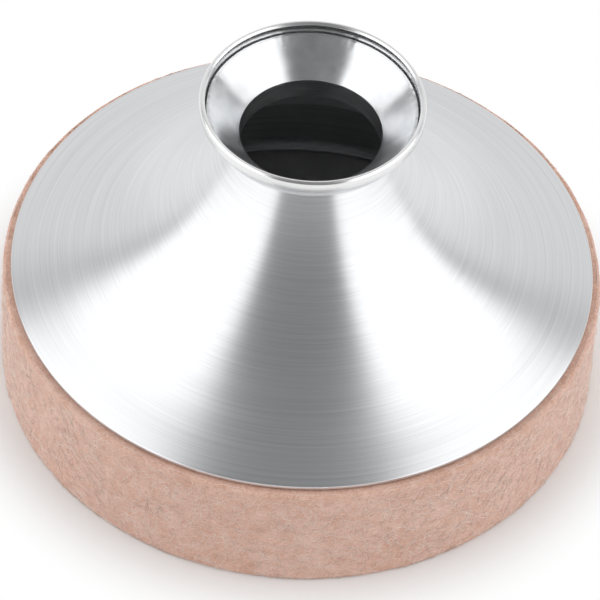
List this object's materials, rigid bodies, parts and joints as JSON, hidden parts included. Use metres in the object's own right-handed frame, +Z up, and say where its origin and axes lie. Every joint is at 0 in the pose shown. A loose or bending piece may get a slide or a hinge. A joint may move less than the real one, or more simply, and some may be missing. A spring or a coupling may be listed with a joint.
{
  "type": "saxophone mute",
  "caption": "Saxophone mute: an open turned aluminium cone with a funnel mouth, on a felt-covered hoop that wedges in the instrument's bell.",
  "frame": {"origin": "middle of the flat lower face of the felt, where the mute stands on a table", "axes": "+Z up along the mute's axis, from the felt towards the funnel mouth"},
  "size_m": [0.11, 0.11, 0.0674],
  "materials": {
    "spun_aluminium": "satin, fine circular brushing",
    "hoop_aluminium": "as rolled",
    "felt": "pressed wool felt, salmon pink",
    "funnel_aluminium": "turned, bright",
    "rim_aluminium": "turned, bright"
  },
  "bodies": {
    "root": {"cone_body": "spun_aluminium", "base_hoop": "hoop_aluminium", "felt_band": "felt", "funnel_insert": "funnel_aluminium", "rim_ring": "rim_aluminium"}
  },
  "joints": []
}
